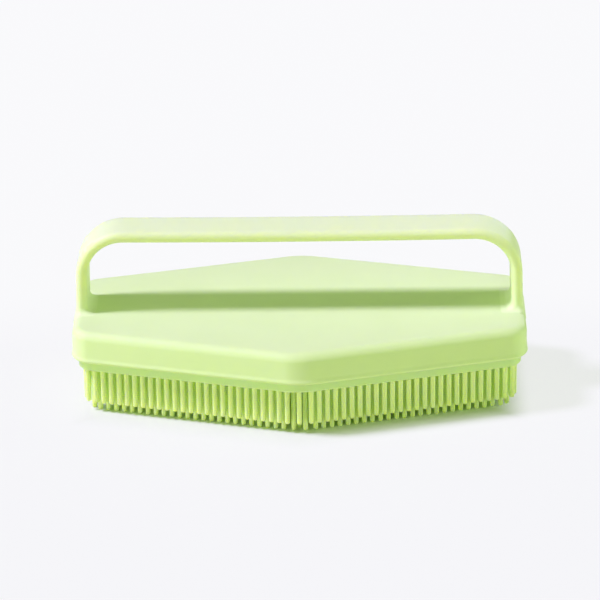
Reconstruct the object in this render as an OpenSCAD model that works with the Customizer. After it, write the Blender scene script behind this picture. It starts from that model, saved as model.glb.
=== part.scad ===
// Scalp massager brush: a hollow hexagonal grip shell with a strap arched over it. Below the
// shell a screwed backing plate carries a soft bristle pad that is stretched over its edge.
// Millimetres. X runs along the body, Y across it and Z up from the bristle tips.

/* [Body] */
// Overall length of the body
body_l = 130; // [116:1:144]
// Overall width across the two rounded points
body_w = 75; // [68:1:82]
// Width of each end between its corners, before they are rounded
end_w = 39.8; // [34:0.2:46]
// Radius of the two points, seen from above
point_r = 15; // [9:0.5:20]
// Radius of the four end corners, seen from above
corner_r = 6.5; // [5:0.5:9]
// Height of the shell
shell_h = 9.3; // [8.8:0.1:12]
// Rounding of the shell's top edge
top_r = 2.6; // [1.6:0.1:3.2]
// Rounding of the shell's lower edge
lip_r = 0.8; // [0.5:0.1:1.6]
// How far the shell's lip stands out from its wall
lip_out = 0.3; // [0.1:0.1:0.5]
// Height of the flared lip
lip_h = 2; // [1.8:0.1:2.6]
// Thickness of the shell's wall at its mouth
wall = 2; // [1.7:0.1:2.6]
// Thickness of the shell's top
top_wall = 2.4; // [1.8:0.1:3]
// Width of the ledge that the seal is pressed against
ledge_w = 2; // [1.4:0.1:2.6]

/* [Strap] */
// Width of the strap across the body
strap_w = 13.6; // [12:0.2:20]
// Thickness of the strap
strap_t = 3.3; // [2.8:0.1:4.2]
// Rounding of the strap's four edges
strap_edge = 1.2; // [0.6:0.1:1.3]
// Clear height for the fingers under the strap
strap_gap = 21.6; // [18:0.1:28]
// Inside radius of the strap's two bends
strap_r = 10.5; // [8:0.5:15]
// Distance of the strap's outer face behind the end of the body
strap_setback = 0.9; // [0.8:0.1:1.8]
// Radius of the fillet at the foot of each leg
foot_r = 2.4; // [1:0.1:3.4]
// Depth of the socket wall behind each leg
socket_t = 4; // [3:0.2:5]
// Width of the socket wall on each side of the leg
socket_side = 2.6; // [2:0.1:3.4]
// Thickness left under each leg's end
socket_floor = 1; // [0.8:0.1:1.4]
// Diameter of the pins that lock the strap
pin_d = 2; // [1.6:0.1:2.4]
// Distance between the two pins of one leg
pin_spacing = 8; // [7:0.5:10]
// Height of a pin's axis above the leg's end
pin_rise = 1.9; // [1.7:0.1:2.2]
// How far a pin reaches past the leg into the end wall
pin_bite = 0.5; // [0.3:0.1:0.6]

/* [Backing plate] */
// Thickness of the plate's deck, whose edge the pad grips
deck_t = 1.3; // [1.2:0.1:2]
// Height of the rim that enters the shell's mouth
spigot_h = 2; // [1.6:0.1:2.4]
// Width of the rim from the neck inwards
rim_w = 2; // [1.6:0.1:3]
// Thickness of the seal ring
seal_t = 1; // [0.8:0.1:1.2]

/* [Screws] */
// Diameter of the screw's shank
screw_d = 2.5; // [2:0.1:3]
// Length of the screw's shank
screw_l = 6; // [5:0.5:7]
// Diameter of the screw's head
head_d = 5; // [4.4:0.1:5.6]
// Height of the screw's head
head_h = 1.6; // [1.2:0.1:2]
// Wall of the posts and bosses round the screws
boss_wall = 1.7; // [1.4:0.1:2.2]
// Distance of the two end screws from the middle
screw_x = 44; // [38:1:48]
// Distance of the two side screws from the middle
screw_y = 23; // [18:1:25]

/* [Bristle pad] */
// Setback of the pad's edge behind the shell's wall
pad_inset = 1.6; // [0.8:0.1:1.8]
// Thickness of the pad's sheet under the plate
pad_skin = 1; // [0.8:0.1:1.6]
// Thickness of the pad's lip over the plate's edge
pad_lip = 0.8; // [0.6:0.1:1.2]
// Thickness of the pad's rim round the plate's edge
pad_rim = 2; // [1.5:0.1:2.6]
// Depth of the pad's lip over the plate's edge
pad_grip = 1.2; // [0.8:0.1:1.8]
// Diameter of a bristle
bristle_d = 1.5; // [1.2:0.1:1.7]
// Length of the inner bristles
bristle_l = 13.3; // [10:0.1:16]
// How much shorter the outer row is
outer_short = 2.9; // [1:0.1:3.4]
// Distance between bristles along the two outer rows
bristle_pitch = 2.35; // [2.2:0.05:2.8]
// Distance of the outer row from the pad's edge
row_inset = 1.9; // [1.2:0.1:2.4]
// Distance between the two outer rows
row_step = 2.1; // [1.9:0.1:2.6]
// Distance between bristles in the inner field
field_pitch = 6; // [5.4:0.1:7]

/* [Clearances] */
// Gap round the plate, the legs, the pins and the screws
fit_gap = 0.1; // [0.05:0.01:0.15]

/* [Hidden] */
$fn = 48;

// Heights, from the bristle tips up
pad_z = bristle_l;
deck_z = pad_z + pad_skin;
deck_top = deck_z + deck_t;
shell_z = deck_top + pad_lip;
spigot_top = shell_z + spigot_h;
ledge_z = spigot_top + seal_t;
shell_top = shell_z + shell_h;
ceiling_z = shell_top - top_wall;
leg_z = ledge_z + socket_floor;
strap_z = shell_top + strap_gap;

// Plan of the body: the long edges run from the end corners to touch the round points
half_l = body_l / 2;
half_end = end_w / 2;
point_c = body_w / 2 - point_r;
edge_a = atan2(point_c - half_end, half_l)
    + asin(point_r / norm([half_l, point_c - half_end]));
edge_w = half_end + half_l * tan(edge_a);
least_r = 0.4;
thin = 0.01;
arc_steps = 8;
edge_steps = 3;
bend_steps = 8;

// Insets of the nested outlines, from the body's outline inwards
deck_inset = pad_inset + pad_rim;
neck_inset = deck_inset + pad_grip;
ledge_inset = wall + ledge_w;

// Strap legs
leg_out = half_l - strap_setback;
leg_in = leg_out - strap_t;
leg_mid = leg_in + strap_t / 2;
bend_x = leg_in - strap_r;
bend_z = strap_z - strap_r;
bend_mid = strap_r + strap_t / 2;
socket_x = leg_in - socket_t;
pin_z = leg_z + pin_rise;
pin_sink = 0.2;
pin_start = socket_x + pin_sink;
pin_end = leg_out + pin_bite;

// Screws
seat_z = deck_z + head_h + fit_gap;
post_d = head_d + 2 * boss_wall;
boss_d = screw_d + 2 * boss_wall + 2 * fit_gap;
pilot_spare = 0.4;
recess_t = 0.8;
recess_w = 0.7;
recess_l = 2.8;
screw_at = [[screw_x, 0], [-screw_x, 0], [0, screw_y], [0, -screw_y]];

// Four-sided strands with the section area of a round bristle
strand_r = bristle_d / 2 * sqrt(PI / 2);
root_sink = 0.5;
tip_h = 0.5;
tip_share = 0.55;
outer_inset = pad_inset + row_inset;
second_inset = outer_inset + row_step;
field_inset = second_inset + field_pitch / 2;

shell_color = "#def2b0";
strap_color = "#e4f5c4";
pad_color = "#bfe072";
plate_color = "#cfe6a0";
seal_color = "#a9cf62";
steel_color = "#b9bdc1";

// Points on an arc about c, from angle a to angle b
function arc(c, r, a, b, steps = arc_steps) = [
    for (i = [0:steps])
        let (t = a + (b - a) * i / steps)
        c + r * [cos(t), sin(t)]
];

// Height of a long edge's line at x, moved inwards by d
function edge_y(d, x) = edge_w - d / cos(edge_a) - x * tan(edge_a);

// Outline of the body moved inwards by d, from the middle of the right end
function outline(d) =
    let (
        r = max(corner_r - d, least_r),
        p = max(point_r - d, least_r),
        x = half_l - d - r,
        y = edge_y(d + r, x),
        w = edge_y(d + p, 0)
    )
    concat(
        [[half_l - d, 0]],
        arc([x, y], r, 0, 90 - edge_a),
        arc([0, w], p, 90 - edge_a, 90 + edge_a),
        arc([-x, y], r, 90 + edge_a, 180),
        arc([-x, -y], r, 180, 270 - edge_a),
        arc([0, -w], p, 270 - edge_a, 270 + edge_a),
        arc([x, -y], r, 270 + edge_a, 360)
    );

// Running lengths along a closed outline
function running(p) = [
    for (i = 0, s = 0; i <= len(p); s = s + norm(p[(i + 1) % len(p)] - p[i % len(p)]), i = i + 1) s
];

// Places at even steps round an outline, each as [x, y, direction], a multiple of four in all
function row(d, pitch, shift) =
    let (
        p = outline(d),
        s = running(p),
        whole = s[len(p)],
        n = 4 * round(whole / pitch / 4)
    )
    [
        for (k = [0:n - 1])
            let (
                at = (k + shift) * whole / n,
                i = len([for (v = s) if (v <= at) v]) - 1,
                a = p[i],
                b = p[(i + 1) % len(p)],
                c = a + (b - a) * (at - s[i]) / norm(b - a)
            )
            [c.x, c.y, atan2(b.y - a.y, b.x - a.x)]
    ];

// Whether a place lies inside the body's outline moved inwards by d
function inside(x, y, d) = abs(x) <= half_l - d && abs(y) <= edge_y(d, abs(x));

// Staggered places of the inner field, each as [x, y, direction]
function field(d, pitch) =
    let (
        rise = pitch * sin(60),
        rows = floor(body_w / 2 / rise),
        cols = ceil(half_l / pitch)
    )
    [
        for (j = [-rows:rows], i = [-cols:cols])
            let (x = (i + abs(j % 2) / 2) * pitch, y = j * rise)
            if (inside(x, y, d)) [x, y, 0]
    ];

// Section of the strap with rounded edges, grown all round: thickness along X, width along Y
function strap_section(grow) = [
    for (k = [0:3])
        let (
            x = (strap_t / 2 - strap_edge) * [1, -1, -1, 1][k],
            y = (strap_w / 2 - strap_edge) * [1, 1, -1, -1][k]
        )
        each arc([x, y], strap_edge + grow, 90 * k, 90 * k + 90, edge_steps)
];

// Middle line of the strap from the right leg's end to the left one's, each as [x, z, tilt]
function arch() = concat(
    [[leg_mid, leg_z, 0]],
    [
        for (side = [0, 1], i = [0:bend_steps])
            let (t = 90 * side + 90 * i / bend_steps)
            [bend_x * (1 - 2 * side) + bend_mid * cos(t), bend_z + bend_mid * sin(t), t]
    ],
    [[-leg_mid, leg_z, 180]]
);

// Slab with the body's outline moved inwards by d, between two heights
module slab(d, low, high) {
    translate([0, 0, low]) linear_extrude(high - low) polygon(outline(d));
}

// Thin slice of the shell's rounded outside at one height
module slice(d, z) {
    translate([0, 0, z]) linear_extrude(thin) polygon(outline(d));
}

// Outside of the shell: its wall with a rounded top edge, above a lip that flares out
module shell_outside() {
    hull() {
        slice(0, shell_z + lip_r);
        for (t = [0:30:90]) slice(top_r * (1 - sin(t)), shell_top - top_r * (1 - cos(t)) - thin);
    }
    hull() {
        slice(0, shell_z + lip_h);
        for (t = [0:30:90]) slice(lip_r * (1 - sin(t)) - lip_out, shell_z + lip_r * (1 - cos(t)));
    }
}

// Round bar along X between two places
module bar(low, high, d) {
    translate([low, 0, 0]) rotate([0, 90, 0]) cylinder(d = d, h = high - low);
}

// Both ends of the body, with the child drawn for the right end
module both_ends() {
    for (turn = [0, 180]) rotate([0, 0, turn]) children();
}

module at_pins() {
    for (y = [-pin_spacing / 2, pin_spacing / 2]) translate([0, y, pin_z]) children();
}

module at_screws() {
    for (p = screw_at) translate([p.x, p.y, 0]) children();
}

module top_shell() {
    socket_w = strap_w + 2 * socket_side;
    pilot_top = seat_z + screw_l + pilot_spare;
    color(shell_color) difference() {
        union() {
            difference() {
                shell_outside();
                slab(wall, shell_z - 1, ledge_z);
                slab(ledge_inset, shell_z - 1, ceiling_z);
            }
            both_ends()
                translate([socket_x, -socket_w / 2, ledge_z])
                    cube([leg_out - socket_x, socket_w, ceiling_z - ledge_z + top_wall / 2]);
            at_screws()
                translate([0, 0, spigot_top])
                    cylinder(d = boss_d, h = ceiling_z - spigot_top + top_wall / 2);
        }
        both_ends() {
            translate([leg_mid, 0, leg_z])
                linear_extrude(shell_h) polygon(strap_section(fit_gap));
            at_pins() bar(socket_x - 1, pin_end + fit_gap, pin_d + 2 * fit_gap);
        }
        at_screws()
            translate([0, 0, spigot_top - 1])
                cylinder(d = screw_d + 2 * fit_gap, h = pilot_top - spigot_top + 1);
    }
}

// Strap's section carried along its arch
module strap_sweep() {
    ring = strap_section(0);
    path = arch();
    n = len(ring);
    last = n * (len(path) - 1);
    polyhedron(
        [for (p = path, v = ring) [p.x + v.x * cos(p.z), v.y, p.y + v.x * sin(p.z)]],
        concat(
            [[for (i = [0:n - 1]) i]],
            [[for (i = [n - 1:-1:0]) last + i]],
            [
                for (k = [0:n:last - n], i = [0:n - 1])
                    let (j = (i + 1) % n)
                    [k + i, k + n + i, k + n + j, k + j]
            ]
        )
    );
}

// Fillet at the foot of the right leg, on the side of the fingers
module foot() {
    rotate([90, 0, 0]) linear_extrude(strap_w - 2 * strap_edge, center = true) difference() {
        translate([leg_in - foot_r, shell_top]) square([foot_r + strap_edge, foot_r]);
        translate([leg_in - foot_r, shell_top + foot_r]) circle(foot_r);
    }
}

module handle_strap() {
    color(strap_color) difference() {
        union() {
            strap_sweep();
            both_ends() foot();
        }
        both_ends() at_pins() bar(leg_in - 1, leg_out + 1, pin_d + 2 * fit_gap);
    }
}

module strap_pins() {
    color(steel_color) both_ends() at_pins() bar(pin_start, pin_end, pin_d);
}

module backing_plate() {
    color(plate_color) difference() {
        union() {
            slab(deck_inset, deck_z, deck_top);
            difference() {
                union() {
                    slab(neck_inset, deck_z, shell_z);
                    slab(wall + fit_gap, shell_z, spigot_top);
                }
                slab(neck_inset + rim_w, deck_top, spigot_top + 1);
            }
            at_screws()
                translate([0, 0, deck_z]) cylinder(d = post_d, h = spigot_top - deck_z);
        }
        at_screws() {
            translate([0, 0, deck_z - 1]) cylinder(d = head_d + 4 * fit_gap, h = seat_z - deck_z + 1);
            translate([0, 0, deck_z]) cylinder(d = screw_d + 2 * fit_gap, h = spigot_top);
        }
    }
}

module seal_ring() {
    color(seal_color) difference() {
        slab(wall + fit_gap, spigot_top, ledge_z);
        slab(ledge_inset - fit_gap, spigot_top - 1, ledge_z + 1);
    }
}

module plate_screws() {
    color(steel_color) at_screws() difference() {
        union() {
            translate([0, 0, seat_z - head_h]) cylinder(d = head_d, h = head_h);
            translate([0, 0, seat_z - head_h / 2]) cylinder(d = screw_d, h = screw_l + head_h / 2);
        }
        for (turn = [0, 90])
            rotate([0, 0, turn])
                translate([-recess_l / 2, -recess_w / 2, seat_z - head_h - 1])
                    cube([recess_l, recess_w, recess_t + 1]);
    }
}

// One flat-tipped strand at a place, from the pad's sheet down to the height low
module flat_strand(place, low) {
    ring = [for (q = [45:90:315]) strand_r * [cos(q + place.z), sin(q + place.z)]];
    foot = [place.x, place.y];
    polyhedron(
        concat(
            [for (v = ring) [foot.x + v.x, foot.y + v.y, low]],
            [for (v = ring) [foot.x + v.x, foot.y + v.y, pad_z + root_sink]]
        ),
        concat(
            [[0, 1, 2], [0, 2, 3], [4, 6, 5], [4, 7, 6]],
            [for (i = [0:3]) [i, i + 4, (i + 1) % 4]],
            [for (i = [0:3]) [(i + 1) % 4, i + 4, (i + 1) % 4 + 4]]
        )
    );
}

// One strand with a narrowed tip at a place, from the pad's sheet down to the height low
module narrow_strand(place, low) {
    ring = [for (q = [45:90:315]) strand_r * [cos(q + place.z), sin(q + place.z)]];
    foot = [place.x, place.y];
    polyhedron(
        concat(
            [for (v = ring * tip_share) [foot.x + v.x, foot.y + v.y, low]],
            [for (v = ring) [foot.x + v.x, foot.y + v.y, low + tip_h]],
            [for (v = ring) [foot.x + v.x, foot.y + v.y, pad_z + root_sink]]
        ),
        concat(
            [[0, 1, 2], [0, 2, 3], [8, 10, 9], [8, 11, 10]],
            [for (k = [0, 4], i = [0:3]) [k + i, k + i + 4, k + (i + 1) % 4]],
            [for (k = [0, 4], i = [0:3]) [k + (i + 1) % 4, k + i + 4, k + (i + 1) % 4 + 4]]
        )
    );
}

module bristle_pad() {
    color(pad_color) union() {
        slab(pad_inset, pad_z, deck_z);
        difference() {
            slab(pad_inset, deck_z, shell_z);
            slab(deck_inset - fit_gap, deck_z - 1, deck_top);
            slab(neck_inset - fit_gap, deck_z - 1, shell_z + 1);
        }
        for (place = row(outer_inset, bristle_pitch, 0)) narrow_strand(place, outer_short);
        for (place = row(second_inset, bristle_pitch, 0.5)) flat_strand(place, 0);
        for (place = field(field_inset, field_pitch)) flat_strand(place, 0);
    }
}

top_shell();
handle_strap();
strap_pins();
backing_plate();
seal_ring();
plate_screws();
bristle_pad();
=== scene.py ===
import math
import random

import bmesh
import bpy
from mathutils import Matrix, Quaternion, Vector


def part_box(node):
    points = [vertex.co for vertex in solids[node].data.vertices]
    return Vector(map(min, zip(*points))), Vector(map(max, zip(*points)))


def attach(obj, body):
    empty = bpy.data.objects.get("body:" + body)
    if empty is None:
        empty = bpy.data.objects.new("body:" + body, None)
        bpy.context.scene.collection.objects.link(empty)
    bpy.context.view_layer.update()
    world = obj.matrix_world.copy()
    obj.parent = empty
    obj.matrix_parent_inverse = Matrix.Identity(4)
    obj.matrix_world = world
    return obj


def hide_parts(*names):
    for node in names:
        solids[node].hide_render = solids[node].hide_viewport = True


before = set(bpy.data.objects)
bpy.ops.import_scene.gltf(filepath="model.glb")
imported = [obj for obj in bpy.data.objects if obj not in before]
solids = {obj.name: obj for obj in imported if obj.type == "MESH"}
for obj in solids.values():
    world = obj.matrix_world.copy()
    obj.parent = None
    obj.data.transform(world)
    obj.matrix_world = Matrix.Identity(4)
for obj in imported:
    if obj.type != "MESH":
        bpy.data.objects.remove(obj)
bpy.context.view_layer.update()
mm = 0.001
hair = 1e-6  # lengths closer than this, in metres, count as the same

shellLow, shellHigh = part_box("top_shell")
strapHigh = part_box("handle_strap")[1]
padLow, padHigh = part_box("bristle_pad")
print("frame loaded:", ", ".join(sorted(solids)))

# plan of the body: a long hexagon with round points and round end corners
bodyPlan = {
    "endWidth": 39.8 * mm,
    "pointRadius": 15 * mm,
    "cornerRadius": 6.5 * mm,
    "lipOut": 0.3 * mm,
    "leastRadius": 0.4 * mm,
    "pointSteps": 10,
    "cornerSteps": 12,
    "lineSteps": 8,  # along each arc of a line that bristles stand on
}
halfLength = shellHigh.x - bodyPlan["lipOut"]
halfWidth = shellHigh.y - bodyPlan["lipOut"]
halfEnd = bodyPlan["endWidth"] / 2
pointCentre = halfWidth - bodyPlan["pointRadius"]
edgeAngle = math.atan2(pointCentre - halfEnd, halfLength)
edgeAngle += math.asin(bodyPlan["pointRadius"] / math.hypot(halfLength, pointCentre - halfEnd))
sharpWidth = halfEnd + halfLength * math.tan(edgeAngle)


def edgeAt(inset, x):
    return sharpWidth - inset / math.cos(edgeAngle) - x * math.tan(edgeAngle)


def roundedHexagon(bm, inset, z):
    x = halfLength - inset
    y = edgeAt(inset, x)
    tip = edgeAt(inset, 0)
    spots = [(x, -y), (x, y), (0, tip), (-x, y), (-x, -y), (0, -tip)]
    verts = [bm.verts.new((px, py, z)) for px, py in spots]
    bm.faces.new(verts)
    points = [verts[2], verts[5]]
    corners = [verts[0], verts[1], verts[3], verts[4]]
    least = bodyPlan["leastRadius"]
    rounds = [
        (points, max(bodyPlan["pointRadius"] - inset, least), edgeAngle, bodyPlan["pointSteps"]),
        (corners, max(bodyPlan["cornerRadius"] - inset, least),
         (math.pi / 2 - edgeAngle) / 2, bodyPlan["cornerSteps"]),
    ]
    for group, radius, halfTurn, steps in rounds:
        bmesh.ops.bevel(bm, geom=group, offset=radius * math.tan(halfTurn), segments=steps,
                        profile=0.5, affect="VERTICES", material=-1)
    bm.faces.ensure_lookup_table()
    return bm.faces[0]


def onlyKind(made, kind):  # the vertices, edges or faces among what an operator made
    return [g for g in made if isinstance(g, kind)]


def raiseFace(bm, face, move):  # extrudes one face and gives back its moved copy
    made = bmesh.ops.extrude_face_region(bm, geom=[face, *face.edges, *face.verts])["geom"]
    bmesh.ops.translate(bm, verts=onlyKind(made, bmesh.types.BMVert), vec=move)
    return onlyKind(made, bmesh.types.BMFace)[0]


def flatFace(bm, z):  # the widest level face at a height
    level = [f for f in bm.faces if abs(f.calc_center_median().z - z) < hair]
    return max(level, key=lambda f: f.calc_area())


def roundEdge(bm, face, radius, steps):  # rolls the border of a level face over
    bmesh.ops.bevel(bm, geom=list(face.edges), offset=radius, segments=steps,
                    profile=0.5, affect="EDGES", material=-1)


def makePiece(name, bm, material, node, creaseAngle):
    bmesh.ops.recalc_face_normals(bm, faces=bm.faces)
    for face in bm.faces:
        face.smooth = True
    for edge in bm.edges:
        if len(edge.link_faces) == 2:
            edge.smooth = edge.calc_face_angle() < creaseAngle
    mesh = bpy.data.meshes.new(name)
    bm.to_mesh(mesh)
    bm.free()
    mesh.materials.append(material)
    piece = bpy.data.objects.new(name, mesh)
    bpy.context.scene.collection.objects.link(piece)
    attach(piece, "root")
    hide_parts(node)
    print("piece made:", name, len(mesh.polygons), "faces")
    return piece


def linearColour(code):  # sRGB hex to linear
    parts = [int(code[i:i + 2], 16) / 255 for i in (1, 3, 5)]
    return [p / 12.92 if p <= 0.04045 else ((p + 0.055) / 1.055) ** 2.4 for p in parts] + [1]


def addNode(tree, kind, inputs, **settings):
    node = tree.nodes.new(kind)
    for key, value in settings.items():
        setattr(node, key, value)
    for key, value in inputs.items():
        if isinstance(value, bpy.types.NodeSocket):
            tree.links.new(value, node.inputs[key])
        else:
            node.inputs[key].default_value = value
    return node


def newMaterial(name):
    material = bpy.data.materials.new(name)
    material.use_nodes = True
    material.node_tree.nodes.clear()
    return material, material.node_tree


# polypropylene with a fine matte mould finish: a dry pale skin with soft, wide highlights
shellFinish = {
    "pale": "#e5f7ae",
    "deep": "#dff3a4",
    "mottleSize": 14 * mm,
    "grainSize": 0.7 * mm,  # the moulded grain is finer, and is drawn coarser so that it shows
    "grainDepth": 0.012 * mm,
    "grainStrength": 0.5,
    "roughness": (0.46, 0.56),
    "refraction": 1.43,
    "specular": 0.35,
    "sheen": 0.4,
    "sheenRoughness": 0.5,
    "subsurface": 0.25,
    "bleed": 0.8 * mm,
    "bleedShares": (1.0, 0.95, 0.15),  # blue light is soon lost inside, which leaves lime green
}


def mouldedPolymer(name, finish):
    material, tree = newMaterial(name)
    place = addNode(tree, "ShaderNodeTexCoord", {})
    mottle = addNode(tree, "ShaderNodeTexNoise", {
        "Vector": place.outputs["Object"], "Scale": 1 / finish["mottleSize"],
        "Detail": 2.0, "Roughness": 0.5})
    tone = addNode(tree, "ShaderNodeMix", {
        "Factor": mottle.outputs["Fac"], "A": linearColour(finish["pale"]),
        "B": linearColour(finish["deep"])}, data_type="RGBA")
    level = addNode(tree, "ShaderNodeSeparateXYZ", {"Vector": place.outputs["Object"]})
    # painted shade, partly the thicker silicone's deeper colour: above a height the piece gets a
    # deeper tone, which darkens the pad's rim band under the shell's lip
    if "thickRimShade" in finish:
        start, end = finish["thickRimShadeFrom"]
        body = addNode(tree, "ShaderNodeMapRange", {
            "Value": level.outputs["Z"], "From Min": start, "From Max": end})
        tone = addNode(tree, "ShaderNodeMix", {
            "Factor": body.outputs["Result"], "A": tone.outputs["Result"],
            "B": linearColour(finish["thickRimShade"])}, data_type="RGBA")
    grain = addNode(tree, "ShaderNodeTexNoise", {
        "Vector": place.outputs["Object"], "Scale": 1 / finish["grainSize"],
        "Detail": 3.0, "Roughness": 0.6})
    low, high = finish["roughness"]
    rough = addNode(tree, "ShaderNodeMapRange", {
        "Value": grain.outputs["Fac"], "To Min": low, "To Max": high})
    relief = addNode(tree, "ShaderNodeBump", {
        "Height": grain.outputs["Fac"], "Strength": finish["grainStrength"],
        "Distance": finish["grainDepth"]})
    depth = finish["subsurface"]
    if "rooted" in finish:  # the buried root of the piece lets no light through
        start, end = finish["rooted"]
        depth = addNode(tree, "ShaderNodeMapRange", {
            "Value": level.outputs["Z"], "From Min": start, "From Max": end,
            "To Max": finish["subsurface"]}, interpolation_type="SMOOTHSTEP").outputs["Result"]
    skin = addNode(tree, "ShaderNodeBsdfPrincipled", {
        "Base Color": tone.outputs["Result"], "Roughness": rough.outputs["Result"],
        "IOR": finish["refraction"], "Specular IOR Level": finish["specular"],
        "Sheen Weight": finish["sheen"], "Sheen Roughness": finish["sheenRoughness"],
        "Subsurface Weight": depth, "Subsurface Scale": finish["bleed"],
        "Subsurface Radius": finish["bleedShares"], "Normal": relief.outputs["Normal"]})
    addNode(tree, "ShaderNodeOutputMaterial", {"Surface": skin.outputs["BSDF"]})
    return material


# translucent silicone rubber: light spreads inside, so it is deep in colour where it is thick, and the
# sheet's rim band under the shell's lip is painted darker as shade
padFinish = dict(shellFinish, **{
    "pale": "#ebfcb4",
    "deep": "#e6f9aa",
    "thickRimShade": "#d9eeac",  # the sheet is thicker than a bristle and deeper in colour; this tone also paints the shade that the shell's lip casts on the rim band
    "thickRimShadeFrom": (12.9 * mm, 13.5 * mm),
    "mottleSize": 9 * mm,
    "grainSize": 0.6 * mm,  # drawn coarser than the real skin so that it shows
    "grainDepth": 0.008 * mm,
    "roughness": (0.38, 0.48),
    "specular": 0.3,
    "sheen": 0.0,
    "subsurface": 1.0,
    "bleed": 1.2 * mm,
})

# stainless steel, turned: fine lines round the bar stretch the highlight
steelFinish = {
    "steel": "#c3c6c8",
    "brushLength": 4 * mm,
    "brushWidth": 0.08 * mm,
    "roughness": (0.24, 0.4),
}


def turnedSteel(name, finish):
    material, tree = newMaterial(name)
    place = addNode(tree, "ShaderNodeTexCoord", {})
    stretch = addNode(tree, "ShaderNodeMapping", {
        "Vector": place.outputs["Object"],
        "Scale": (1 / finish["brushLength"], 1 / finish["brushLength"], 1 / finish["brushWidth"])})
    lines = addNode(tree, "ShaderNodeTexNoise", {
        "Vector": stretch.outputs["Vector"], "Scale": 1.0, "Detail": 2.0})
    low, high = finish["roughness"]
    rough = addNode(tree, "ShaderNodeMapRange", {
        "Value": lines.outputs["Fac"], "To Min": low, "To Max": high})
    skin = addNode(tree, "ShaderNodeBsdfPrincipled", {
        "Base Color": linearColour(finish["steel"]), "Metallic": 1.0,
        "Roughness": rough.outputs["Result"]})
    addNode(tree, "ShaderNodeOutputMaterial", {"Surface": skin.outputs["BSDF"]})
    return material


# thermoplastic elastomer: the same dry skin, with light passing through its edges
strapFinish = dict(shellFinish, pale="#ecfbbb", deep="#e6f7b1", mottleSize=11 * mm, subsurface=0.6,
                   bleed=5 * mm, rooted=(shellHigh.z + 1 * mm, shellHigh.z + 9 * mm))
# plain polypropylene of the hidden plate: the shell's skin in a duller green
plateFinish = dict(shellFinish, pale="#cfe79c", deep="#c8e292", subsurface=0.1)
# the seal's silicone: as soft as the pad, and a stronger green
sealFinish = dict(padFinish, pale="#b4d873", deep="#add26b")

shellSkin = mouldedPolymer("mattePolypropylene", shellFinish)
strapSkin = mouldedPolymer("strapElastomer", strapFinish)
padSkin = mouldedPolymer("bristleSilicone", padFinish)
plateSkin = mouldedPolymer("platePolypropylene", plateFinish)
sealSkin = mouldedPolymer("sealSilicone", sealFinish)
steelSkin = turnedSteel("turnedStainless", steelFinish)
print("materials made")

# inner pieces keep their solids
innerSkins = {
    "backing_plate": plateSkin,
    "seal_ring": sealSkin,
    "plate_screws": steelSkin,
    "strap_pins": steelSkin,
}
for node, skin in innerSkins.items():
    solids[node].data.materials.clear()
    solids[node].data.materials.append(skin)

# grip shell
gripShell = {
    "topRadius": 2.6 * mm,
    "lipRadius": 0.8 * mm,
    "lipBand": 0.9 * mm,
    "lipFlare": [(0.17 * mm, 0.35 * mm), (0.09 * mm, 0.4 * mm), (0.04 * mm, 0.45 * mm)],
    "wall": 2 * mm,
    "top": 2.4 * mm,
    "roundSteps": 8,
    "calmBorder": 1.5 * mm,  # level strip inside the rounding that keeps the top's shading flat
    "creaseAngle": math.radians(40),
}


def buildGripShell(spec):
    bm = bmesh.new()
    face = roundedHexagon(bm, -bodyPlan["lipOut"], shellLow.z)
    face = raiseFace(bm, face, (0, 0, spec["lipBand"]))
    for inwards, upwards in spec["lipFlare"]:  # hollow sweep from the lip up to the wall
        bmesh.ops.inset_region(bm, faces=[face], thickness=inwards, depth=upwards)
    face = raiseFace(bm, face, (0, 0, shellHigh.z - face.calc_center_median().z))
    roundEdge(bm, face, spec["topRadius"], spec["roundSteps"])
    roundEdge(bm, flatFace(bm, shellLow.z), spec["lipRadius"], spec["roundSteps"])
    bmesh.ops.inset_region(bm, faces=[flatFace(bm, shellHigh.z)], thickness=spec["calmBorder"])
    mouth = flatFace(bm, shellLow.z)
    rim = spec["wall"] + bodyPlan["lipOut"] - spec["lipRadius"]
    bmesh.ops.inset_region(bm, faces=[mouth], thickness=rim)
    raiseFace(bm, mouth, (0, 0, shellHigh.z - shellLow.z - spec["top"]))
    return makePiece("grip_shell", bm, shellSkin, "top_shell", spec["creaseAngle"])


buildGripShell(gripShell)

# strap
strap = {
    "thickness": 3.3 * mm,
    "bendRadius": 10.5 * mm,
    "edgeRadius": 1.6 * mm,
    "edgeSteps": 8,
    "bendSteps": 18,
    "spanSteps": 24,
    "footRadius": 2.4 * mm,
    "footSide": 1.6 * mm,
    "footRings": [-1.9, -1.3, -0.7, -0.1, 0, 0.05, 0.15, 0.35, 0.7, 1.2, 1.8, 2.4],  # mm over the top
    "rootDepth": 2.3 * mm,
    "skirt": 0.8 * mm,  # the foot's rim runs on below the top so that it meets it smoothly
    "outerFlare": 0.7 * mm,
    "flareTop": 2 * mm,
    "flareFoot": -1.9 * mm,
    "splay": 0.024,  # how far the legs lean outwards for each length of height
    "sag": 0.28 * mm,
    "creaseAngle": math.radians(60),
}


def turnFace(bm, face, centre, steps):  # sweeps a face through a quarter turn of the arch
    made = bmesh.ops.spin(bm, geom=[face, *face.edges, *face.verts], cent=centre, axis=(0, -1, 0),
                          angle=math.pi / 2, steps=steps, use_merge=False)
    return onlyKind(made["geom_last"], bmesh.types.BMFace)[0]


def filletAt(height, radius, skirt):  # how far a round fillet stands out at a height above its foot
    if height < 0:
        return radius + skirt
    gap = max(radius - height, 0)
    return radius - math.sqrt(radius * radius - gap * gap)


def rollOver(x):  # how far the shell's rounded border has dropped at a place along the body
    radius = gripShell["topRadius"]
    past = min(max(abs(x) - halfLength + radius, 0), radius)
    return radius - math.sqrt(radius * radius - past * past)


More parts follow.
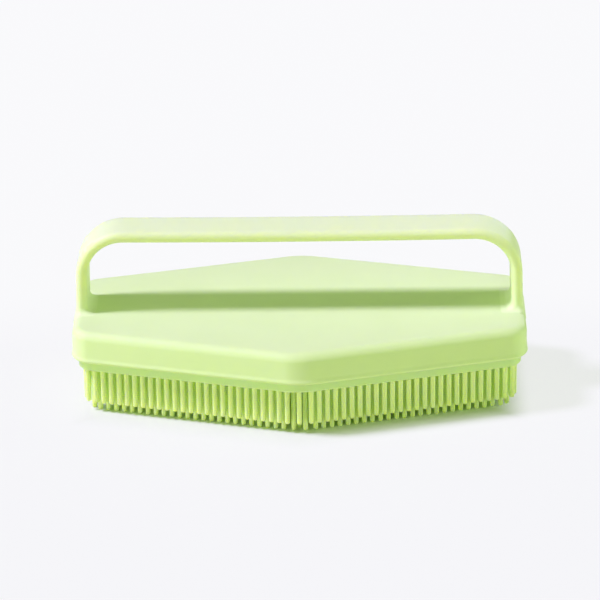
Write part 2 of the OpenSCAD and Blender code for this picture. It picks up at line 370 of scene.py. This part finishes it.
def spreadFoot(vert, middle, spec):
    height = vert.co.z - shellHigh.z
    if height > max(spec["footRadius"], spec["flareTop"]):
        return
    side = math.copysign(1, vert.co.x)
    aboveBorder = height + rollOver(vert.co.x)
    if abs(vert.co.x) < middle:
        vert.co.x -= side * filletAt(height, spec["footRadius"], spec["skirt"])
    else:
        share = (spec["flareTop"] - height) / (spec["flareTop"] - spec["flareFoot"])
        vert.co.x += side * spec["outerFlare"] * min(max(share, 0), 1) ** 2
    reach = filletAt(aboveBorder, spec["footSide"], spec["skirt"])
    vert.co.y += math.copysign(reach, vert.co.y)


def buildStrap(spec):
    bm = bmesh.new()
    outer = strapHigh.x
    inner = outer - spec["thickness"]
    middle = (outer + inner) / 2
    half = strapHigh.y
    root = shellHigh.z - spec["rootDepth"]
    bendX = inner - spec["bendRadius"]
    bendZ = strapHigh.z - spec["thickness"] - spec["bendRadius"]
    spots = [(inner, -half), (outer, -half), (outer, half), (inner, half)]
    verts = [bm.verts.new((x, y, root)) for x, y in spots]
    bm.faces.new(verts)
    bmesh.ops.bevel(bm, geom=verts, offset=spec["edgeRadius"], segments=spec["edgeSteps"],
                    profile=0.5, affect="VERTICES", material=-1)
    bm.faces.ensure_lookup_table()
    face = bm.faces[0]
    # right leg: rings close together over the foot, then one long run to the bend
    heights = [shellHigh.z + rise * mm for rise in spec["footRings"]] + [bendZ]
    for z in heights:
        face = raiseFace(bm, face, (0, 0, z - face.calc_center_median().z))
    # over the two bends with a straight span between them
    face = turnFace(bm, face, (bendX, 0, bendZ), spec["bendSteps"])
    step = -2 * bendX / spec["spanSteps"]
    for i in range(spec["spanSteps"]):
        face = raiseFace(bm, face, (step, 0, 0))
    face = turnFace(bm, face, (-bendX, 0, bendZ), spec["bendSteps"])
    for z in reversed([root] + heights[:-1]):
        face = raiseFace(bm, face, (0, 0, z - face.calc_center_median().z))
    # feet spread into the top of the shell, and the span hangs a little
    for vert in bm.verts:
        spreadFoot(vert, middle, spec)
        if vert.co.z < bendZ:
            vert.co.x += math.copysign(spec["splay"] * (bendZ - vert.co.z), vert.co.x)
        if vert.co.z > bendZ and abs(vert.co.x) < bendX:
            vert.co.z -= spec["sag"] * (1 - (vert.co.x / bendX) ** 2)
    return makePiece("hand_strap", bm, strapSkin, "handle_strap", spec["creaseAngle"])


buildStrap(strap)

# bristle pad: soft sheet with a rim, and all its bristles
pad = {
    "inset": 1.6 * mm,
    "rim": 2 * mm,
    "skin": 1 * mm,
    "sheetZ": 13.3 * mm,
    "edgeRadius": 0.7 * mm,
    "edgeSteps": 5,
    "creaseAngle": math.radians(60),
}
bristle = {
    "diameter": 1.5 * mm,
    "taper": 0.97,
    "tipProfile": [(1.0, 0.5), (0.9, 0.2), (0.62, 0.04)],  # share of the radius, mm above the tip
    "sides": 12,
    "pitch": 2.35 * mm,
    "columnStep": 2.305 * mm,
    "firstColumn": 3.35 * mm,  # the two beside the middle one stand a little further off
    "rowStep": 2.1 * mm,
    "closeRows": 2,  # rows at the full count, the rest stand further apart
    "innerSpread": 1.5,
    "firstInset": 3.5 * mm,
    "outerShort": 2.9 * mm,
    "rootSink": 0.3 * mm,
    "lean": math.radians(0.15),
    "spare": 0.7,  # least share of the pitch between neighbours
    "rowsBack": 2,  # rows further out that a new bristle has to clear
    "leastWidth": 1.2 * mm,
    "seed": 4,
}


def arcPoints(centre, radius, start, end):
    steps = bodyPlan["lineSteps"]
    turns = [start + (end - start) * i / steps for i in range(steps + 1)]
    return [Vector((centre[0] + radius * math.cos(t), centre[1] + radius * math.sin(t)))
            for t in turns]


def quarterLine(inset):  # from the middle of the right end to the far point, moved inwards
    radius = max(bodyPlan["cornerRadius"] - inset, bodyPlan["leastRadius"])
    tipRadius = max(bodyPlan["pointRadius"] - inset, bodyPlan["leastRadius"])
    x = halfLength - inset - radius
    y = edgeAt(inset + radius, x)
    level = math.pi / 2 - edgeAngle
    tip = edgeAt(inset + tipRadius, 0)
    last = arcPoints((0, tip), tipRadius, level, math.pi / 2)
    if y < 0:  # near the middle the two long edges meet in a point
        return [Vector((edgeAt(inset, 0) / math.tan(edgeAngle), 0))] + last
    return [Vector((halfLength - inset, 0))] + arcPoints((x, y), radius, 0, level) + last


def rowColumns(row, spec):  # places along the body, every second row standing in the gaps
    outer = row < spec["closeRows"]
    step = spec["columnStep"] * (1 if outer else spec["innerSpread"])
    first = spec["firstColumn"] if outer else step
    columns = [0] + [first + k * step for k in range(int(halfLength / step))]
    if row % 2:
        return [(a + b) / 2 for a, b in zip(columns, columns[1:])]
    return columns


def rowPlaces(inset, columns, pitch):  # one quarter of a row, from the far point to the end's middle
    line = quarterLine(inset)[::-1]
    bend = halfLength - max(inset, bodyPlan["cornerRadius"])  # where the corner starts to turn
    found = []
    rest = line
    for x in columns:
        for i, (a, b) in enumerate(zip(line, line[1:])):
            if a.x - hair <= x < min(b.x, bend):
                spot = a.lerp(b, (x - a.x) / (b.x - a.x))
                found.append(spot)
                rest = [spot] + line[i + 1:]
                break
    runs = [(b - a).length for a, b in zip(rest, rest[1:])]
    count = max(round(sum(runs) / pitch), 1)
    for k in range(1, count + 1):
        left = k * sum(runs) / count
        for a, b, run in zip(rest, rest[1:], runs):
            if left <= run + hair:
                found.append(a.lerp(b, left / run))
                break
            left -= run
    return found


def bristlePlaces(spec):  # rows follow the outline
    kept = []
    row = 0
    inset = spec["firstInset"]
    while edgeAt(inset, 0) > spec["leastWidth"]:
        spread = 1 if row < spec["closeRows"] else spec["innerSpread"]
        pitch = spec["pitch"] * spread
        for spot in rowPlaces(inset, rowColumns(row, spec), pitch):
            for sx, sy in ((1, 1), (-1, 1), (-1, -1), (1, -1)):
                place = Vector((spot.x * sx, spot.y * sy))
                others = [other for other, r in kept if r >= row - spec["rowsBack"]]
                if all((other - place).length >= pitch * spec["spare"] for other in others):
                    kept.append((place, row))
        row += 1
        inset += spec["rowStep"] * spread
    return kept


def bristleMesh(spec, length):  # one blunt bristle hanging from its root at the origin
    bm = bmesh.new()
    radius = spec["diameter"] / 2
    bmesh.ops.create_circle(bm, segments=spec["sides"], radius=radius, cap_ends=True)
    edges = list(bm.edges)
    last = (1.0, length / mm)
    for share, above in spec["tipProfile"]:
        made = bmesh.ops.extrude_edge_only(bm, edges=edges)["geom"]
        ring = onlyKind(made, bmesh.types.BMVert)
        edges = onlyKind(made, bmesh.types.BMEdge)
        shrink = share / last[0] * (spec["taper"] if last[0] == share else 1)
        bmesh.ops.translate(bm, verts=ring, vec=(0, 0, (above - last[1]) * mm))
        bmesh.ops.scale(bm, verts=ring, vec=(shrink, shrink, 1))
        last = (share, above)
    cap = bmesh.ops.contextual_create(bm, geom=edges)["faces"]
    centre = bmesh.ops.poke(bm, faces=cap)["verts"]
    bmesh.ops.translate(bm, verts=centre, vec=(0, 0, -last[1] * mm))
    mesh = bpy.data.meshes.new("bristle")
    bm.to_mesh(mesh)
    bm.free()
    return mesh


def buildPad(spec, strands):
    bm = bmesh.new()
    base = roundedHexagon(bm, spec["inset"], spec["sheetZ"])
    raiseFace(bm, base, (0, 0, padHigh.z - spec["sheetZ"]))
    roundEdge(bm, flatFace(bm, spec["sheetZ"]), spec["edgeRadius"], spec["edgeSteps"])
    cup = flatFace(bm, padHigh.z)
    bmesh.ops.inset_region(bm, faces=[cup], thickness=spec["rim"])
    raiseFace(bm, cup, (0, 0, spec["sheetZ"] + spec["skin"] - padHigh.z))
    reach = spec["sheetZ"] + strands["rootSink"] - padLow.z
    templates = [bristleMesh(strands, reach), bristleMesh(strands, reach - strands["outerShort"])]
    draw = random.Random(strands["seed"])
    places = bristlePlaces(strands)
    for spot, row in places:
        strand = templates[row == 0].copy()
        lean = Matrix.Identity(4)
        lean[0][2] = draw.uniform(-1, 1) * strands["lean"]
        lean[1][2] = draw.uniform(-1, 1) * strands["lean"]
        root = Matrix.Translation((spot.x, spot.y, spec["sheetZ"] + strands["rootSink"]))
        strand.transform(root @ lean)
        bm.from_mesh(strand)
        bpy.data.meshes.remove(strand)
    for template in templates:
        bpy.data.meshes.remove(template)
    print("bristles:", len(places))
    return makePiece("bristle_pad_soft", bm, padSkin, "bristle_pad",
                     spec["creaseAngle"])


buildPad(pad, bristle)

# floor, world and lamps
studio = {
    "floorSize": 6.0,
    "floorColour": "#eaebd6",
    "bounce": "#e2e8b8",  # what the floor throws back at the brush, as from a tinted card
    "paper": "#fafafc",
    "farShare": 0.19,  # how much of the real shading shows on the white paper, away from the brush
    "nearEdge": (-5 * mm, 8 * mm),  # where the full shading under the brush fades, past the outline
    "endTuck": 6 * mm,  # it fades sooner at the two ends, where light comes in below the body
    "sweep": (15 * mm, 75 * mm),  # behind the brush less of the real shading shows, so the paper is plainer white there
    "sweepShare": 0.15,
    "zenith": ("#d2ff96", 0.22),
    "horizon": ("#eeffda", 0.125),
    "horizonTop": 0.5,  # height on the unit sphere where the zenith colour is full
    "bounces": 12,  # light has to find its way in between the bristles
    "lamps": {
        "softKey": {"colour": "#d1c2ff", "light": 4.28, "width": 11, "from": (-0.6, -0.07, 0.8)},
        "leftBox": {"colour": "#eeffec", "light": 0.7, "width": 40, "from": (-0.93, -0.36, 0.08)},
        "leftFront": {"colour": "#f2ffe8", "light": 0.75, "width": 40, "from": (-0.72, -0.69, 0.08)},
        "rightBox": {"colour": "#ecffdd", "light": 1.8, "width": 14, "from": (0.98, 0.05, 0.05)},
        "frontFill": {"colour": "#ecffd0", "light": 0.31, "width": 60, "from": (-0.1, -0.97, 0.2)},
    },
}


def seenDirectly(tree):  # 1 for what the eye sees, straight or in a gloss or through glass
    ray = addNode(tree, "ShaderNodeLightPath", {})
    gloss = addNode(tree, "ShaderNodeMath", {
        0: ray.outputs["Is Camera Ray"], 1: ray.outputs["Is Glossy Ray"]}, operation="MAXIMUM")
    both = addNode(tree, "ShaderNodeMath", {
        0: gloss.outputs["Value"], 1: ray.outputs["Is Transmission Ray"]}, operation="MAXIMUM")
    return both.outputs["Value"]


def buildFloor(spec):
    bm = bmesh.new()
    bmesh.ops.create_grid(bm, x_segments=1, y_segments=1, size=spec["floorSize"] / 2)
    mesh = bpy.data.meshes.new("floor")
    bm.to_mesh(mesh)
    bm.free()
    floor = bpy.data.objects.new("floor", mesh)
    bpy.context.scene.collection.objects.link(floor)
    material, tree = newMaterial("whitePaper")  # matt paper: it shows soft shade and no gloss
    place = addNode(tree, "ShaderNodeTexCoord", {})
    quarter = addNode(tree, "ShaderNodeVectorMath", {0: place.outputs["Object"]}, operation="ABSOLUTE")
    pastEnd = addNode(tree, "ShaderNodeVectorMath", {
        0: quarter.outputs["Vector"], 1: (1, 0, 0)}, operation="DOT_PRODUCT")
    pastSide = addNode(tree, "ShaderNodeVectorMath", {
        0: quarter.outputs["Vector"], 1: (math.sin(edgeAngle), math.cos(edgeAngle), 0)},
        operation="DOT_PRODUCT")
    sideReach = addNode(tree, "ShaderNodeMath", {
        0: pastSide.outputs["Value"], 1: sharpWidth * math.cos(edgeAngle)}, operation="SUBTRACT")
    endReach = addNode(tree, "ShaderNodeMath", {
        0: pastEnd.outputs["Value"], 1: halfLength - spec["endTuck"]}, operation="SUBTRACT")
    away = addNode(tree, "ShaderNodeMath", {
        0: sideReach.outputs["Value"], 1: endReach.outputs["Value"]}, operation="MAXIMUM")
    inner, outer = spec["nearEdge"]
    share = addNode(tree, "ShaderNodeMapRange", {
        "Value": away.outputs["Value"], "From Min": inner, "From Max": outer,
        "To Min": 1.0, "To Max": spec["farShare"]}, interpolation_type="SMOOTHSTEP")
    behind = addNode(tree, "ShaderNodeSeparateXYZ", {"Vector": place.outputs["Object"]})
    start, end = spec["sweep"]
    curve = addNode(tree, "ShaderNodeMapRange", {
        "Value": behind.outputs["Y"], "From Min": start, "From Max": end,
        "To Min": 1.0, "To Max": spec["sweepShare"]}, interpolation_type="SMOOTHSTEP")
    shade = addNode(tree, "ShaderNodeMath", {
        0: share.outputs["Result"], 1: curve.outputs["Result"]}, operation="MULTIPLY")
    lit = addNode(tree, "ShaderNodeBsdfDiffuse", {"Color": linearColour(spec["floorColour"])})
    glow = addNode(tree, "ShaderNodeEmission", {"Color": linearColour(spec["paper"])})
    seen = addNode(tree, "ShaderNodeMixShader", {
        0: shade.outputs["Value"], 1: glow.outputs["Emission"], 2: lit.outputs["BSDF"]})
    card = addNode(tree, "ShaderNodeBsdfDiffuse", {"Color": linearColour(spec["bounce"])})
    either = addNode(tree, "ShaderNodeMixShader", {
        0: seenDirectly(tree), 1: card.outputs["BSDF"], 2: seen.outputs["Shader"]})
    addNode(tree, "ShaderNodeOutputMaterial", {"Surface": either.outputs["Shader"]})
    mesh.materials.append(material)


def buildLight(spec):
    world = bpy.data.worlds.new("studio")
    bpy.context.scene.world = world
    world.use_nodes = True
    tree = world.node_tree
    tree.nodes.clear()
    look = addNode(tree, "ShaderNodeTexCoord", {})
    split = addNode(tree, "ShaderNodeSeparateXYZ", {"Vector": look.outputs["Generated"]})
    rise = addNode(tree, "ShaderNodeMapRange", {
        "Value": split.outputs["Z"], "From Max": spec["horizonTop"]}, interpolation_type="SMOOTHSTEP")
    low = addNode(tree, "ShaderNodeBackground", {
        "Color": linearColour(spec["horizon"][0]), "Strength": spec["horizon"][1]})
    high = addNode(tree, "ShaderNodeBackground", {
        "Color": linearColour(spec["zenith"][0]), "Strength": spec["zenith"][1]})
    soft = addNode(tree, "ShaderNodeMixShader", {
        0: rise.outputs["Result"], 1: low.outputs["Background"], 2: high.outputs["Background"]})
    white = addNode(tree, "ShaderNodeBackground", {"Color": linearColour(spec["paper"])})
    either = addNode(tree, "ShaderNodeMixShader", {
        0: seenDirectly(tree), 1: soft.outputs["Shader"], 2: white.outputs["Background"]})
    addNode(tree, "ShaderNodeOutputWorld", {"Surface": either.outputs["Shader"]})
    for name, lamp in spec["lamps"].items():
        data = bpy.data.lights.new(name, "SUN")
        data.energy = lamp["light"]
        data.color = linearColour(lamp["colour"])[:3]
        data.angle = math.radians(lamp["width"])
        light = bpy.data.objects.new(name, data)
        light.rotation_mode = "QUATERNION"
        light.rotation_quaternion = Vector(lamp["from"]).to_track_quat("Z", "Y")
        bpy.context.scene.collection.objects.link(light)
    bpy.context.scene.cycles.diffuse_bounces = spec["bounces"]


buildFloor(studio)
buildLight(studio)
print("studio made")

# camera at the photo's angle
photoView = {
    "azimuth": math.radians(1.11),
    "elevation": math.radians(23.31),
    "roll": math.radians(-1.01),
    "distance": 1000 * mm,
    "focalPixels": 3455.7,
    "framePixels": 600,
    "target": (0.09 * mm, 0, 26.51 * mm),
    "nearest": 10 * mm,
}


def buildCamera(spec):
    level = math.cos(spec["elevation"])
    back = Vector((math.sin(spec["azimuth"]) * level, -math.cos(spec["azimuth"]) * level,
                   math.sin(spec["elevation"])))
    data = bpy.data.cameras.new("photoCamera")
    data.lens = spec["focalPixels"] * data.sensor_width / spec["framePixels"]
    data.clip_start = spec["nearest"]
    camera = bpy.data.objects.new("photoCamera", data)
    camera.rotation_mode = "QUATERNION"
    camera.location = Vector(spec["target"]) + back * spec["distance"]
    straight = (-back).to_track_quat("-Z", "Y")
    camera.rotation_quaternion = Quaternion(back, spec["roll"]) @ straight
    bpy.context.scene.collection.objects.link(camera)
    bpy.context.scene.camera = camera


buildCamera(photoView)
bpy.context.scene.view_settings.view_transform = "Standard"
